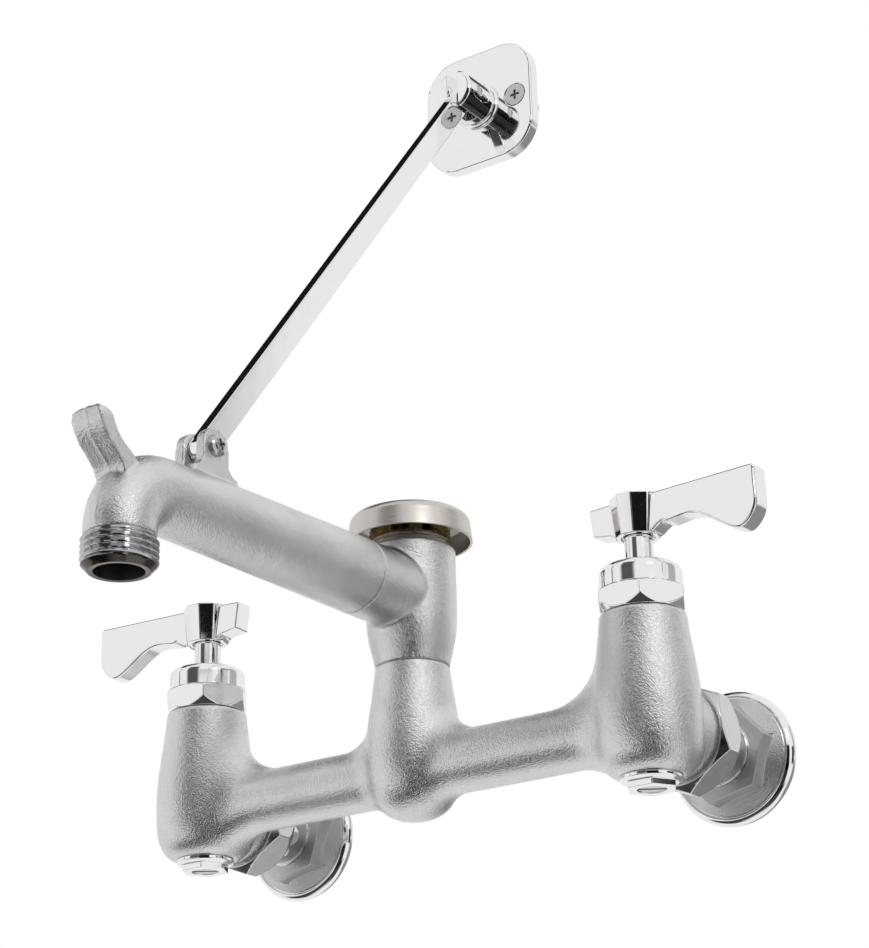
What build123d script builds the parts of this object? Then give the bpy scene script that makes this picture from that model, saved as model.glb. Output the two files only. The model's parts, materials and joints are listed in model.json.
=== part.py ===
from build123d import *
from math import cos, radians, sin
import os

# Wall-mount service-sink faucet: two lever valves on 8 inch centres, a cast bridge body, a vacuum
# breaker, a spout with pail hook and hose-thread outlet, and a flat bar brace up to a wall bracket.
# Frame: X to the right, Z up, the wall is the plane Y = 0 and the faucet stands out towards -Y.
# The origin is on the wall, midway between the two inlets, at the height of their axes.

# ---- driving dimensions, mm ----
inlet_centres = 203.2                       # 8 inch
wall_to_valve = 63.5                        # 2 1/2 inch from the wall to the valve axes
half_centres = inlet_centres / 2
valve_y = -wall_to_valve
SIDES = {"hot": -1, "cold": 1}              # hot is on the left, seen from the front

run_gap = 0.05                              # radial clearance of a running fit
free_gap = 0.3                              # clearance between pieces that pass each other

# bridge casting
bar_r = 11.7
tower_top = 40.0
tower_top_r = 15.8
tower_hip_r = 19.5
tower_hip_z = 2.0
tower_foot = -19.0
tower_foot_r = 12.2
bridge_blend_r = 24.0
column_top = 40.0
column_top_r = 14.15
column_hip_r = 18.2
column_hip_z = 4.0
column_foot = -19.0
column_blend_r = 15.0
inlet_boss_r = 17.5
inlet_boss_end = -45.5
inlet_spigot_r = 15.4
inlet_spigot_end = -37.5
inlet_bore_r = 6.5
bridge_bore_r = 5.5
column_bore_r = 8.5
pocket_r = 11.0                             # cartridge pocket in each tower
pocket_floor = 9.0
bonnet_socket_r = 13.0
bonnet_socket_floor = 28.0
seat_port_r = 4.5
chamber_r = 7.5                             # stop chamber, open at the tower foot
chamber_top = 3.0
riser_r = 4.0

# wall flange, union nut and washer of one inlet
flange_r = 25.7
flange_rim = 4.5
flange_face_r = 22.6
flange_hex_af = 33.3
flange_hex_base = 7.0
flange_hex_top = 13.5
tail_r = 12.0
tail_collar_r = 14.6
tail_collar = (32.5, 35.5)
pipe_bore_r = 10.0                          # 1/2 inch pipe thread, inside
pipe_bore_depth = 14.0
tail_bore_r = 8.0
nut_af = 37.5
nut_turn = 38.0                             # where the nut came to rest, degrees
nut_front = -44.0
nut_back = -27.0
nut_flat_back = -30.3                       # where the rear cone starts, in the middle of a flat

# stop below each tower
cap_ring_r = 11.2
cap_ring = 2.4
cap_hex_af = 16.6
cap_foot = -23.7
cap_spigot_r = 7.45
cap_spigot_top = -10.0
stop_screw_r = 5.2
stop_pin_r = 2.0
plunger_r = 6.4
plunger_foot = -6.0
plunger_top = -2.0
slot_width = 1.6
slot_depth = 1.5

# bonnet and cartridge
bonnet_hex_af = 30.4
bonnet_hex_foot = tower_top + 0.3
bonnet_hex_top = 49.3
bonnet_turn = {"hot": 5.0, "cold": -2.0}    # where each bonnet came to rest, degrees
bonnet_collar_r = 15.2
bonnet_top = 59.1
bonnet_shoulder = bonnet_top - 4.4          # where the collar starts to round over
bonnet_lip_r = 8.6
stem_r = 5.3
spindle_r = 4.0
cartridge_r = 10.4
cartridge_foot = 11.0
cartridge_top = 36.0
disc_r = 8.6
disc_thick = 3.0
disc_port_r = 2.2
disc_port_offset = 4.6
disc_chamber_top = 22.0                     # above the discs and the foot of the stem
stem_foot_r = disc_r - 1.2
stem_foot_thick = 2.4
stem_groove = (28.0, 30.0)

# lever handle
hub_foot = 69.5
hub_top = 84.6
hub_top_r = 9.6
hub_foot_r = 7.9
hub_facets = 10
hub_bore_r = 6.1
blade_thick = 8.4
blade_round = 0.9
lever_reach = 52.2
tail_reach = 18.2
rest_turn = 3.3                             # both levers stand this far forward of straight out, degrees
broach_r = 4.2
broach_top = 79.6
stem_shoulder = hub_foot + 2.0
handle_screw_r = 1.8
handle_screw_head_r = 4.4
button_r = 6.6
button_seat = hub_top - 1.2                 # floor of its recess in the hub

# vacuum breaker
breaker_top = 89.7
breaker_r = 17.5
breaker_throat_r = 8.0
float_seat = 56.0
float_chamber_r = 12.2
cage_socket_floor = 82.0
cage_socket_r = 13.0
breaker_spigot_r = 11.0
breaker_spigot_foot = 31.0
cage_lugs = 8
vent_r = 6.0
hood_screw_r = 1.8
hood_r = 24.3
hood_foot = 90.2
hood_top = 101.6
hood_top_r = 23.5
hood_corner_r = 4.0
hood_wall = 1.0

# spout
spout_z = 67.9
spout_r = 14.5                              # at the joint; the tube tapers towards the elbow
elbow_tube_r = 13.0
outlet_neck_r = 12.4
elbow_drop = 1.4                            # the tube's axis falls this much as it tapers
spout_bore_r = 9.6
joint_y = valve_y - 36.2                    # face where the spout meets the breaker's side boss
outlet_y = -228.9
outlet_foot = 34.2
elbow_r = 18.0
thread_top = 46.4
thread_r = 13.2                             # 3/4 inch garden hose thread, major radius
outlet_bore_r = 8.6
joint_bore_r = 10.5
joint_depth = 9.0
hook_width = 13.4
hook_tip = 88.2
hook_corner_r = 4.5

# brace
brace_y = -187.8                            # brace pivot on the spout
brace_z = 90.3
bracket_pivot_y = -17.4
bracket_z = 309.0
ear_gap = 5.2
ear_thick = 4.0
ear_r = 6.6
ear_foot_r = 5.0
tube_crown = 80.6                           # height of the tube's top under the ears
brace_bar_width = 9.5                       # 3/8 by 3/16 inch flat bar
brace_bar_thick = 4.8
brace_bolt_r = 2.5
plate_width = 54.6
plate_height = 54.3
plate_thick = 5.6
plate_corner_r = 15.5
post_r = 9.0
post_front = -25.5
post_flare = 1.6
post_slot = brace_bar_thick + 0.5
post_slot_floor = -11.4
bracket_pin_r = 2.0
wall_screw_x = 19.0
wall_screw_r = 2.4                          # over the thread
wall_screw_neck_r = 2.1
wall_screw_thread = 0.5                     # where the threaded part starts, behind the wall plane
wall_screw_tip = 13.0
wall_screw_head_r = 5.1
cross_slot = 1.0                            # width of every Phillips slot

os.makedirs("parts", exist_ok=True)


def save(piece, name):
    piece.label = name
    export_step(piece, "parts/" + name + ".step")


def upright(x, y, sign=1):
    """Plane through a vertical axis: local x is the radius, to the side of sign, local y the height."""
    return Plane(origin=(x, y, 0), x_dir=(sign, 0, 0), z_dir=(0, -sign, 0))


def vertical(x, y):
    return Axis((x, y, 0), (0, 0, 1))


def turned(points, plane_x, plane_y):
    """Half section of a round piece about the vertical axis at x, y, from its corner points."""
    with BuildSketch(upright(plane_x, plane_y)) as section:
        with BuildLine():
            Polyline(points, close=True)
        make_face()
    return section.sketch


def ring(x, y, z, r_out, r_in, height):
    """A plain ring standing at height z on a vertical axis."""
    with BuildPart() as washer:
        with BuildSketch(Plane.XY.offset(z)):
            with Locations((x, y)):
                Circle(r_out)
                Circle(r_in, mode=Mode.SUBTRACT)
        extrude(amount=height)
    return washer.part


# ---- bridge body: one casting with two valve towers and a centre column ----
def tower_section(x):
    with BuildSketch(upright(x, valve_y, x / half_centres)) as section:
        with BuildLine():
            Line((0, tower_foot), (tower_foot_r, tower_foot))
            Spline((tower_foot_r, tower_foot), (tower_hip_r, tower_hip_z), tangents=((1, 0.35), (0, 1)))
            Spline((tower_hip_r, tower_hip_z), (tower_top_r, tower_top), tangents=((0, 1), (-0.08, 1)))
            Line((tower_top_r, tower_top), (0, tower_top))
            Line((0, tower_top), (0, tower_foot))
        make_face()
    return section.sketch


def bridge_seams(near, far):
    """Picks the curved seams of the crossbar whose middle lies this far from the centre line."""
    def picks(edge):
        box = edge.bounding_box()
        curved = edge.geom_type not in (GeomType.CIRCLE, GeomType.LINE)
        return curved and near < abs(box.center().X) < far and box.size.Z < 3 * bar_r
    return picks


with BuildPart() as valve_body:
    with BuildSketch(Plane.YZ.offset(-half_centres)):
        with Locations((valve_y, 0)):
            Circle(bar_r)
    extrude(amount=inlet_centres)
    for sign in SIDES.values():
        x = sign * half_centres
        revolve(tower_section(x), axis=vertical(x, valve_y))
    fillet(valve_body.edges().filter_by(bridge_seams(75, 92)), radius=bridge_blend_r)
    with BuildSketch(Plane(origin=(0, valve_y, 0), x_dir=(0, -1, 0), z_dir=(-1, 0, 0))):
        with BuildLine():
            Line((0, column_top), (column_top_r, column_top))
            Spline((column_top_r, column_top), (column_hip_r, column_hip_z), tangents=((0.1, -1), (0, -1)))
            Spline((column_hip_r, column_hip_z), (0, column_foot), tangents=((0, -1), (-1, 0)))
            Line((0, column_foot), (0, column_top))
        make_face()
    revolve(axis=vertical(0, valve_y))
    fillet(valve_body.edges().filter_by(bridge_seams(10, 25)), radius=column_blend_r)
    for sign in SIDES.values():
        x = sign * half_centres
        # rear boss, and the threaded spigot that the union nut screws onto
        with BuildSketch(Plane.XZ.offset(-valve_y)):
            with Locations((x, 0)):
                Circle(inlet_boss_r)
        extrude(amount=valve_y - inlet_boss_end)
        # the back of the boss and tower is faced flat for the union
        with BuildSketch(Plane.XZ.offset(-inlet_boss_end)):
            with Locations((x, 0)):
                Circle(2 * inlet_boss_r)
        extrude(amount=-inlet_boss_r, mode=Mode.SUBTRACT)
        with BuildSketch(Plane.XZ.offset(-valve_y)):
            with Locations((x, 0)):
                Circle(inlet_spigot_r)
        extrude(amount=valve_y - inlet_spigot_end)
    # rounded top rims, as cast and lightly faced
    fillet(valve_body.edges().filter_by(GeomType.CIRCLE).filter_by_position(
        Axis.Z, tower_top - 0.01, tower_top + 0.01), radius=0.8)
    for sign in SIDES.values():
        x = sign * half_centres
        axis_point = (x, valve_y)
        for low, high, r in ((pocket_floor, tower_top, pocket_r),
                             (bonnet_socket_floor, tower_top, bonnet_socket_r),
                             (chamber_top, pocket_floor, seat_port_r),
                             (tower_foot, chamber_top, chamber_r)):
            with BuildSketch(Plane.XY.offset(low)):
                with Locations(axis_point):
                    Circle(r)
            extrude(amount=high - low, mode=Mode.SUBTRACT)
        with BuildSketch(Plane.XZ.offset(-inlet_spigot_end)):
            with Locations((x, 0)):
                Circle(inlet_bore_r)
        extrude(amount=inlet_spigot_end - valve_y - chamber_r + 1.5, mode=Mode.SUBTRACT)
        # waterway from the cartridge pocket down into the crossbar
        riser_foot = Vector(sign * (half_centres - 17.5), valve_y, 0)
        riser_head = Vector(sign * (half_centres - 8.5), valve_y, 14)
        with BuildSketch(Plane(origin=riser_foot, z_dir=riser_head - riser_foot)):
            Circle(riser_r)
        extrude(amount=(riser_head - riser_foot).length, mode=Mode.SUBTRACT)
    with BuildSketch(Plane.YZ.offset(17.5 - half_centres)):
        with Locations((valve_y, 0)):
            Circle(bridge_bore_r)
    extrude(amount=inlet_centres - 35, mode=Mode.SUBTRACT)
    for low, r in ((-4, column_bore_r), (breaker_spigot_foot - 1.5, breaker_spigot_r + run_gap)):
        with BuildSketch(Plane.XY.offset(low)):
            with Locations((0, valve_y)):
                Circle(r)
        extrude(amount=column_top - low, mode=Mode.SUBTRACT)
save(valve_body.part, "valve_body")

# ---- inlet union: wall flange with its hexagon and tail, washer and union nut ----
for side, sign in SIDES.items():
    x = sign * half_centres
    inlet_axis = Axis((x, 0, 0), (0, 1, 0))
    with BuildPart() as wall_flange:
        with BuildSketch(Plane(origin=(x, 0, 0))):
            with BuildLine():
                Line((tail_bore_r, 0), (flange_r - 0.5, 0))
                ThreePointArc((flange_r - 0.5, 0), (flange_r - 0.3, -flange_rim / 2),
                              (flange_face_r + 0.8, -flange_rim))
                Polyline((flange_face_r + 0.8, -flange_rim), (flange_face_r, -flange_rim + 0.6),
                         (flange_hex_af / 2, -flange_hex_base), (tail_r, -flange_hex_base),
                         (tail_r, -tail_collar[0]), (tail_collar_r, -tail_collar[0]),
                         (tail_collar_r, -tail_collar[1]), (tail_bore_r, -tail_collar[1]),
                         (tail_bore_r, 0))
            make_face()
        revolve(axis=inlet_axis)
        with BuildSketch(Plane.XZ.offset(1)):
            with Locations(Location((x, 0), 13)):
                RegularPolygon(flange_hex_af / 2, 6, major_radius=False)
                Circle(tail_r - 1, mode=Mode.SUBTRACT)
        extrude(amount=flange_hex_top - 1)
        with BuildSketch(Plane.XZ):
            with Locations((x, 0)):
                Circle(pipe_bore_r)
        extrude(amount=pipe_bore_depth, mode=Mode.SUBTRACT)
    save(wall_flange.part, side + "_wall_flange")

    with BuildPart() as inlet_washer:
        with BuildSketch(Plane.XZ.offset(tail_collar[1])):
            with Locations((x, 0)):
                Circle(tail_collar_r - 0.2)
                Circle(inlet_bore_r + 0.5, mode=Mode.SUBTRACT)
        extrude(amount=-inlet_spigot_end - tail_collar[1])
    save(inlet_washer.part, side + "_inlet_washer")

    with BuildPart() as union_nut:
        with BuildSketch(Plane.XZ.offset(-nut_back)):
            with Locations(Location((x, 0), nut_turn)):
                RegularPolygon(nut_af / 2, 6, major_radius=False)
        extrude(amount=nut_back - nut_front)
        # both ends are turned to a cone, which leaves an arc on every flat
        with BuildSketch(Plane(origin=(x, 0, 0))):
            corner = nut_af / 2 * 1.1548
            with BuildLine():
                Polyline((0, nut_front), (nut_af / 2 - 0.5, nut_front), (corner, nut_front + 2.4),
                         (corner, nut_flat_back - 5.4), (nut_af / 2, nut_flat_back),
                         (nut_af / 2 - 3.4, nut_back), (0, nut_back), close=True)
            make_face()
        revolve(axis=inlet_axis, mode=Mode.INTERSECT)
        for back, front, r in ((nut_back, nut_front, tail_r + free_gap),
                               (-tail_collar[0], nut_front, inlet_spigot_r + run_gap)):
            with BuildSketch(Plane.XZ.offset(-back)):
                with Locations((x, 0)):
                    Circle(r)
            extrude(amount=back - front, mode=Mode.SUBTRACT)
    save(union_nut.part, side + "_union_nut")

# ---- stop under each tower: cap, seal, plunger and slotted screw ----
for side, sign in SIDES.items():
    x = sign * half_centres
    with BuildPart() as stop_cap:
        revolve(turned([(stop_screw_r + run_gap, cap_spigot_top), (cap_spigot_r, cap_spigot_top),
                        (cap_spigot_r, tower_foot), (cap_ring_r, tower_foot),
                        (cap_ring_r, tower_foot - cap_ring + 1.0), (cap_ring_r - 1.6, tower_foot - cap_ring),
                        (stop_screw_r + run_gap, tower_foot - cap_ring)], x, valve_y),
                axis=vertical(x, valve_y))
        with BuildSketch(Plane.XY.offset(cap_foot)):
            with Locations((x, valve_y)):
                RegularPolygon(cap_hex_af / 2, 6, major_radius=False)
                Circle(stop_screw_r + run_gap, mode=Mode.SUBTRACT)
        extrude(amount=tower_foot - cap_ring - cap_foot)
    save(stop_cap.part, side + "_stop_cap")

    screw_foot = cap_foot + 0.3
    with BuildPart() as stop_screw:
        revolve(turned([(0, screw_foot), (stop_screw_r - 0.5, screw_foot), (stop_screw_r, screw_foot + 0.5),
                        (stop_screw_r, plunger_foot - 0.1), (stop_pin_r, plunger_foot - 0.1),
                        (stop_pin_r, plunger_top - 1.0), (0, plunger_top - 1.0)], x, valve_y),
                axis=vertical(x, valve_y))
        with BuildSketch(Plane.XY.offset(screw_foot)):
            with Locations(Location((x, valve_y), 35)):
                Rectangle(2 * stop_screw_r, slot_width)
        extrude(amount=slot_depth, mode=Mode.SUBTRACT)
    save(stop_screw.part, side + "_stop_screw")

    with BuildPart() as stop_plunger:
        revolve(turned([(stop_pin_r + run_gap, plunger_foot), (plunger_r, plunger_foot),
                        (plunger_r, plunger_top), (0, plunger_top), (0, plunger_top - 0.9),
                        (stop_pin_r + run_gap, plunger_top - 0.9)], x, valve_y),
                axis=vertical(x, valve_y))
    save(stop_plunger.part, side + "_stop_plunger")
    save(ring(x, valve_y, plunger_top, plunger_r - 0.2, 1.5, 1.6), side + "_stop_washer")
    save(ring(x, valve_y, cap_spigot_top, cap_spigot_r - 0.2, stop_screw_r + 0.3, 1.5),
         side + "_stop_seal")

# ---- bonnet and quarter-turn ceramic cartridge of each valve ----
for side, sign in SIDES.items():
    x = sign * half_centres
    with BuildPart() as bonnet:
        with BuildSketch(Plane.XY.offset(bonnet_hex_foot)):
            with Locations(Location((x, valve_y), bonnet_turn[side])):
                RegularPolygon(bonnet_hex_af / 2, 6, major_radius=False)
        extrude(amount=bonnet_hex_top - bonnet_hex_foot)
        corner = bonnet_hex_af / 2 * 1.1548
        revolve(turned([(0, bonnet_hex_foot), (bonnet_hex_af / 2 - 0.2, bonnet_hex_foot),
                        (corner, bonnet_hex_foot + 3.4), (corner, bonnet_hex_top - 1.3),
                        (bonnet_collar_r + 0.1, bonnet_hex_top), (0, bonnet_hex_top)], x, valve_y),
                axis=vertical(x, valve_y), mode=Mode.INTERSECT)
        with BuildSketch(upright(x, valve_y)):
            with BuildLine():
                Polyline((0, bonnet_hex_top), (bonnet_collar_r, bonnet_hex_top),
                         (bonnet_collar_r, bonnet_shoulder))
                Spline((bonnet_collar_r, bonnet_shoulder), (bonnet_lip_r, bonnet_top),
                       tangents=((0, 1), (-1, 0.12)))
                Polyline((bonnet_lip_r, bonnet_top), (0, bonnet_top), (0, bonnet_hex_top))
            make_face()
        revolve(axis=vertical(x, valve_y))
        skirt_r = bonnet_socket_r - run_gap
        skirt_foot = bonnet_socket_floor + 0.6
        revolve(turned([(0, skirt_foot), (skirt_r, skirt_foot), (skirt_r, bonnet_hex_foot + 1),
                        (0, bonnet_hex_foot + 1)], x, valve_y), axis=vertical(x, valve_y))
        cavity_top = cartridge_top + 0.1
        revolve(turned([(0, 0), (pocket_r - 0.2, 0), (pocket_r - 0.2, cavity_top),
                        (stem_r + free_gap, cavity_top), (stem_r + free_gap, hub_top), (0, hub_top)],
                       x, valve_y), axis=vertical(x, valve_y), mode=Mode.SUBTRACT)
    save(bonnet.part, side + "_bonnet")

    with BuildPart() as cartridge_body:
        revolve(turned([(disc_r + 0.1, cartridge_foot), (cartridge_r, cartridge_foot),
                        (cartridge_r, cartridge_top), (spindle_r + run_gap, cartridge_top),
                        (spindle_r + run_gap, disc_chamber_top), (disc_r + 0.1, disc_chamber_top)],
                       x, valve_y), axis=vertical(x, valve_y))
        with BuildSketch(Plane.YZ.offset(x)):
            with Locations((valve_y, pocket_floor + 8.5)):
                SlotOverall(9, 5, rotation=90)          # side window for the water
        extrude(amount=-sign * 2 * pocket_r, mode=Mode.SUBTRACT)
    save(cartridge_body.part, side + "_cartridge_body")

    with BuildPart() as fixed_disc:
        with BuildSketch(Plane.XY.offset(cartridge_foot)):
            with Locations((x, valve_y)):
                Circle(disc_r)
                with PolarLocations(disc_port_offset, 2):
                    Circle(disc_port_r, mode=Mode.SUBTRACT)
        extrude(amount=disc_thick)
    save(fixed_disc.part, side + "_fixed_disc")

    with BuildPart() as turning_disc:
        with BuildSketch(Plane.XY.offset(cartridge_foot + disc_thick)):
            with Locations((x, valve_y)):
                Circle(disc_r - 0.2)
                with PolarLocations(disc_port_offset, 2, start_angle=90):
                    Circle(disc_port_r, mode=Mode.SUBTRACT)
        extrude(amount=disc_thick)
    save(turning_disc.part, side + "_turning_disc")
    save(ring(x, valve_y, pocket_floor, cartridge_r - free_gap, seat_port_r + 1.5,
              cartridge_foot - pocket_floor), side + "_seat_seal")

    disc_top = cartridge_foot + 2 * disc_thick
    with BuildPart() as stem:
        revolve(turned([(0, disc_top), (stem_foot_r, disc_top), (stem_foot_r, disc_top + stem_foot_thick),
                        (spindle_r, disc_top + stem_foot_thick), (spindle_r, cartridge_top + 0.4),
                        (stem_r, cartridge_top + 0.4), (stem_r, stem_shoulder),
                        (broach_r - 0.1, stem_shoulder), (broach_r - 0.1, broach_top), (0, broach_top)],
                       x, valve_y), axis=vertical(x, valve_y))
        with BuildSketch(Plane.XY.offset(broach_top)):
            with Locations((x, valve_y)):
                Circle(handle_screw_r + 0.1)
        extrude(amount=-10, mode=Mode.SUBTRACT)
        # groove that carries the stem's O-ring
        groove_r = spindle_r - 1.1
        revolve(turned([(groove_r, stem_groove[0]), (spindle_r + 1, stem_groove[0]),
                        (spindle_r + 1, stem_groove[1]), (groove_r, stem_groove[1])], x, valve_y),
                axis=vertical(x, valve_y), mode=Mode.SUBTRACT)
    save(stem.part, side + "_stem")
    save(ring(x, valve_y, stem_groove[0] + 0.15, spindle_r - 0.03, groove_r + run_gap, 1.7),
         side + "_stem_seal")

# ---- lever handles: the hot one is the mirror image of the cold one ----
for side, sign in SIDES.items():
    x = sign * half_centres
    with BuildPart() as handle:
        # blade and tail in one flat outline, seen from the front; its free end is the fishtail
        turn = radians(rest_turn)
        lever_plane = Plane(origin=(x, valve_y, 0), x_dir=(sign * cos(turn), -sin(turn), 0),
                            z_dir=(-sin(turn), -sign * cos(turn), 0)).offset(-blade_thick / 2)
        with BuildSketch(lever_plane):
            with BuildLine():
                Polyline((0, hub_top - 0.5), (lever_reach - 1.4, hub_top - 0.1))
                ThreePointArc((lever_reach - 1.4, hub_top - 0.1), (lever_reach - 0.3, hub_top - 0.6),
                              (lever_reach, hub_top - 1.8))
                # the fishtail's end, then the long hollow curve back under the blade to the hub
                Spline((lever_reach, hub_top - 1.8), (lever_reach - 1.9, hub_top - 18.8),
                       (lever_reach - 6.4, hub_top - 22.2), (lever_reach - 12.6, hub_top - 20.4),
                       (31.8, hub_top - 15.2), (22.5, hub_top - 12.1), (14.0, hub_top - 12.7),
                       (8.5, hub_top - 14.9), tangents=((-0.03, -1), (-0.8, -0.6)))
                Polyline((8.5, hub_top - 14.9), (-6.5, hub_top - 14.9), (-9.5, hub_top - 13.0),
                         (1.4 - tail_reach, hub_top - 11.8), (-tail_reach, hub_top - 1.0),
                         (0, hub_top - 0.5))
            make_face()
        extrude(amount=blade_thick)
        fillet(handle.edges().filter_by(GeomType.LINE, reverse=True), radius=blade_round)
        # faceted hub, wider at its top, round the stem
        with BuildSketch(Plane.XY.offset(hub_foot)):
            with Locations((x, valve_y)):
                RegularPolygon(hub_foot_r, hub_facets, major_radius=False)
        with BuildSketch(Plane.XY.offset(hub_top)):
            with Locations((x, valve_y)):
                RegularPolygon(hub_top_r, hub_facets, major_radius=False)
        loft()
        for low, high, r in ((hub_foot, stem_shoulder, hub_bore_r), (hub_foot, broach_top + 0.2, broach_r),
                             (broach_top, hub_top, handle_screw_head_r + 0.2),
                             (button_seat, hub_top, button_r + 0.1)):
            with BuildSketch(Plane.XY.offset(low)):
                with Locations((x, valve_y)):
                    Circle(r)
            extrude(amount=high - low, mode=Mode.SUBTRACT)
    save(handle.part, side + "_handle")

    with BuildPart() as handle_screw:
        head_foot = broach_top + 0.2
        head_top = broach_top + 2.8
        revolve(turned([(0, broach_top - 9), (handle_screw_r, broach_top - 9), (handle_screw_r, head_foot),
                        (handle_screw_head_r, head_foot), (handle_screw_head_r, head_top - 0.8),
                        (3.4, head_top), (0, head_top)], x, valve_y), axis=vertical(x, valve_y))
        with BuildSketch(Plane.XY.offset(head_top)):
            with Locations((x, valve_y)):
                Rectangle(4.4, cross_slot)
                Rectangle(cross_slot, 4.4)
        extrude(amount=-2, mode=Mode.SUBTRACT)
    save(handle_screw.part, side + "_handle_screw")

    with BuildPart() as index_button:
        revolve(turned([(0, button_seat + run_gap), (button_r, button_seat + run_gap),
                        (button_r, hub_top + 0.1), (button_r - 0.9, hub_top + 0.8), (0, hub_top + 1.1)],
                       x, valve_y), axis=vertical(x, valve_y))
    save(index_button.part, side + "_index_button")

# ---- vacuum breaker on the column ----
with BuildPart() as breaker_body:
    with BuildSketch(upright(0, valve_y)):
        with BuildLine():
            Polyline((0, breaker_spigot_foot), (breaker_spigot_r, breaker_spigot_foot),
                     (breaker_spigot_r, column_top), (column_top_r, column_top))
            Spline((column_top_r, column_top), (16.6, 51), (breaker_r, 64), tangents=((0.18, 1), (0, 1)))
            Line((breaker_r, 64), (breaker_r, breaker_top - 3.0))
            RadiusArc((breaker_r, breaker_top - 3.0), (breaker_r - 1.6, breaker_top), 3.6)
            Polyline((breaker_r - 1.6, breaker_top), (0, breaker_top), (0, breaker_spigot_foot))
        make_face()
    revolve(axis=vertical(0, valve_y))
    with BuildSketch(Plane.XZ.offset(-valve_y)):
        with Locations((0, spout_z)):
            Circle(spout_r)
    extrude(amount=valve_y - joint_y)
    side_blend = breaker_body.edges().filter_by(GeomType.BSPLINE).filter_by_position(
        Axis.Y, joint_y + 8, valve_y)
    fillet(side_blend.filter_by(lambda edge: edge.length > 30 and edge.bounding_box().size.X > 20),
           radius=2.6)
    for low, high, r in ((breaker_spigot_foot, float_seat, breaker_throat_r),
                         (float_seat, cage_socket_floor, float_chamber_r),
                         (cage_socket_floor, breaker_top, cage_socket_r)):
        with BuildSketch(Plane.XY.offset(low)):
            with Locations((0, valve_y)):
                Circle(r)
        extrude(amount=high - low, mode=Mode.SUBTRACT)
    for depth, r in ((valve_y - joint_y - 4, spout_bore_r - 1.2), (joint_depth, joint_bore_r)):
        with BuildSketch(Plane.XZ.offset(-joint_y)):
            with Locations((0, spout_z)):
                Circle(r)
        extrude(amount=-depth, mode=Mode.SUBTRACT)
save(breaker_body.part, "breaker_body")
save(ring(0, valve_y, breaker_spigot_foot - 1.5, breaker_spigot_r - 0.2, column_bore_r, 1.5),
     "breaker_gasket")

cage_r = breaker_r - 1.8
cage_floor = breaker_top + 1.2                  # flange of the cage, on the breaker's rim
cage_roof = breaker_top + 5.4
with BuildPart() as vent_cage:
    socket_r = cage_socket_r - run_gap
    revolve(turned([(vent_r, cage_socket_floor), (socket_r, cage_socket_floor), (socket_r, breaker_top),
                    (cage_r, breaker_top), (cage_r, cage_floor), (vent_r, cage_floor)], 0, valve_y),
            axis=vertical(0, valve_y))
    # crown of lugs that keep the air gap open, and the post that carries the hood
    with BuildSketch(Plane.XY.offset(cage_floor)):
        with Locations((0, valve_y)):
            with PolarLocations((vent_r + breaker_r) / 2 + 1.0, cage_lugs):
                Rectangle(5.6, 4.0)
    extrude(amount=cage_roof - cage_floor)
    with BuildSketch(Plane.XY.offset(cage_roof)):
        with Locations((0, valve_y)):
            Circle(cage_r)
    extrude(amount=1.2)
    with BuildSketch(Plane.XY.offset(cage_roof + 1.2)):
        with Locations((0, valve_y)):
            Circle(5.0)
    extrude(amount=hood_top - hood_wall - cage_roof - 1.2)
    with BuildSketch(Plane.XY.offset(cage_roof - 1.4)):
        with Locations((0, valve_y)):
            Circle(hood_screw_r + 0.1)
    extrude(amount=20, mode=Mode.SUBTRACT)
save(vent_cage.part, "vent_cage")

float_r = float_chamber_r - free_gap
float_top = 73.0
with BuildPart() as vent_float:
    revolve(turned([(0, float_seat + 0.1), (11.0, float_seat + 0.1), (float_r, float_seat + 1.4),
                    (float_r, float_seat + 3.0), (6.0, float_seat + 4.4), (6.0, float_top - 3.5),
                    (9.0, float_top - 2.0), (9.0, float_top), (0, float_top)], 0, valve_y),
            axis=vertical(0, valve_y))
save(vent_float.part, "vent_float")
save(ring(0, valve_y, float_top, 8.8, 3.0, 1.7), "vent_seal")

with BuildPart() as hood:
    with BuildSketch(upright(0, valve_y)):
        corner_x = hood_top_r - hood_corner_r
        side_top = hood_top - hood_corner_r
        with BuildLine():
            Polyline((2.0, hood_top + 0.4), (6.0, hood_top + 0.4))
            Spline((6.0, hood_top + 0.4), (corner_x, hood_top - 0.2), (hood_top_r, side_top),
                   tangents=((1, 0), (0.12, -1)))
            Line((hood_top_r, side_top), (hood_r, hood_foot))
            Line((hood_r, hood_foot), (hood_r - hood_wall, hood_foot))
            Line((hood_r - hood_wall, hood_foot), (hood_top_r - hood_wall, side_top))
            Spline((hood_top_r - hood_wall, side_top), (corner_x, hood_top - hood_wall - 0.2),
                   (6.0, hood_top - hood_wall), tangents=((-0.12, 1), (-1, 0)))
            Polyline((6.0, hood_top - hood_wall), (2.0, hood_top - hood_wall), (2.0, hood_top + 0.4))
        make_face()
    revolve(axis=vertical(0, valve_y))
save(hood.part, "hood")

with BuildPart() as hood_screw:
    head_z = hood_top + 0.4
    revolve(turned([(0, cage_roof - 0.9), (hood_screw_r, cage_roof - 0.9), (hood_screw_r, head_z),
                    (4.2, head_z), (4.0, head_z + 1.2), (2.6, head_z + 2.2), (0, head_z + 2.4)],
                   0, valve_y), axis=vertical(0, valve_y))
    with BuildSketch(Plane.XY.offset(head_z + 2.4)):
        with Locations((0, valve_y)):
            Rectangle(4.2, cross_slot)
            Rectangle(cross_slot, 4.2)
    extrude(amount=-1.5, mode=Mode.SUBTRACT)
save(hood_screw.part, "hood_screw")

# ---- spout: straight tube, elbow, threaded outlet, pail hook and brace ears ----
elbow_start = outlet_y + elbow_r
elbow_z = spout_z - elbow_drop


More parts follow.
